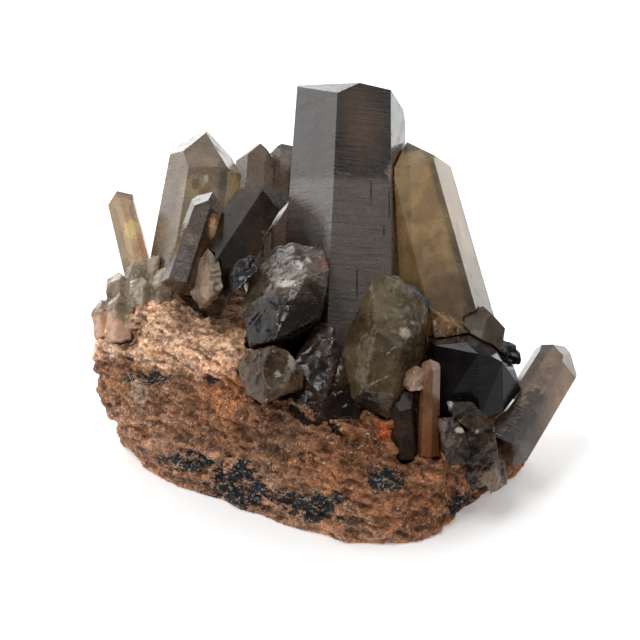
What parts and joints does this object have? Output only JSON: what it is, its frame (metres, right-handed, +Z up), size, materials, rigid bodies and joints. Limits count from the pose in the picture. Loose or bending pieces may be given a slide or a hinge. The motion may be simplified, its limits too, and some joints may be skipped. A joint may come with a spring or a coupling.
{
  "type": "morion quartz cluster",
  "caption": "Cluster of dark smoky quartz crystals, six-sided prisms with faceted points, broken stumps and crusts of small crystals, on a flat-bottomed piece of reddish granite",
  "frame": {"origin": "on the surface the specimen rests on, under the middle of the space it takes up", "axes": "+X to the right as seen from the front, +Y away from the viewer, +Z up"},
  "size_m": [0.0906, 0.0792, 0.0638],
  "materials": {
    "granite": "matte",
    "dark_quartz": "gloss",
    "black_quartz": "gloss",
    "brown_quartz": "gloss",
    "pale_quartz": "gloss",
    "crust_quartz": "satin"
  },
  "bodies": {
    "root": {"stone": "granite", "main_crystal": "dark_quartz", "left_dark_crystal": "dark_quartz", "small_dark_crystal": "dark_quartz", "front_dark_prism": "dark_quartz", "centre_broken_crystal": "dark_quartz", "right_chips": "dark_quartz", "black_crystal": "black_quartz", "small_black_lump": "black_quartz", "black_flakes": "black_quartz", "dark_chip": "black_quartz", "right_tall_crystal": "brown_quartz", "right_broken_crystal": "brown_quartz", "left_broken_crystal": "brown_quartz", "hollow_crystal": "brown_quartz", "back_left_crystal": "brown_quartz", "back_slim_crystal": "brown_quartz", "front_prism": "brown_quartz", "gold_chip": "brown_quartz", "right_small_crystal": "pale_quartz", "right_outer_crystal": "pale_quartz", "left_tall_crystal": "pale_quartz", "far_left_crystal": "pale_quartz", "pale_chip": "pale_quartz", "grey_lump": "pale_quartz", "left_crust": "crust_quartz", "back_crust": "crust_quartz"}
  },
  "joints": []
}
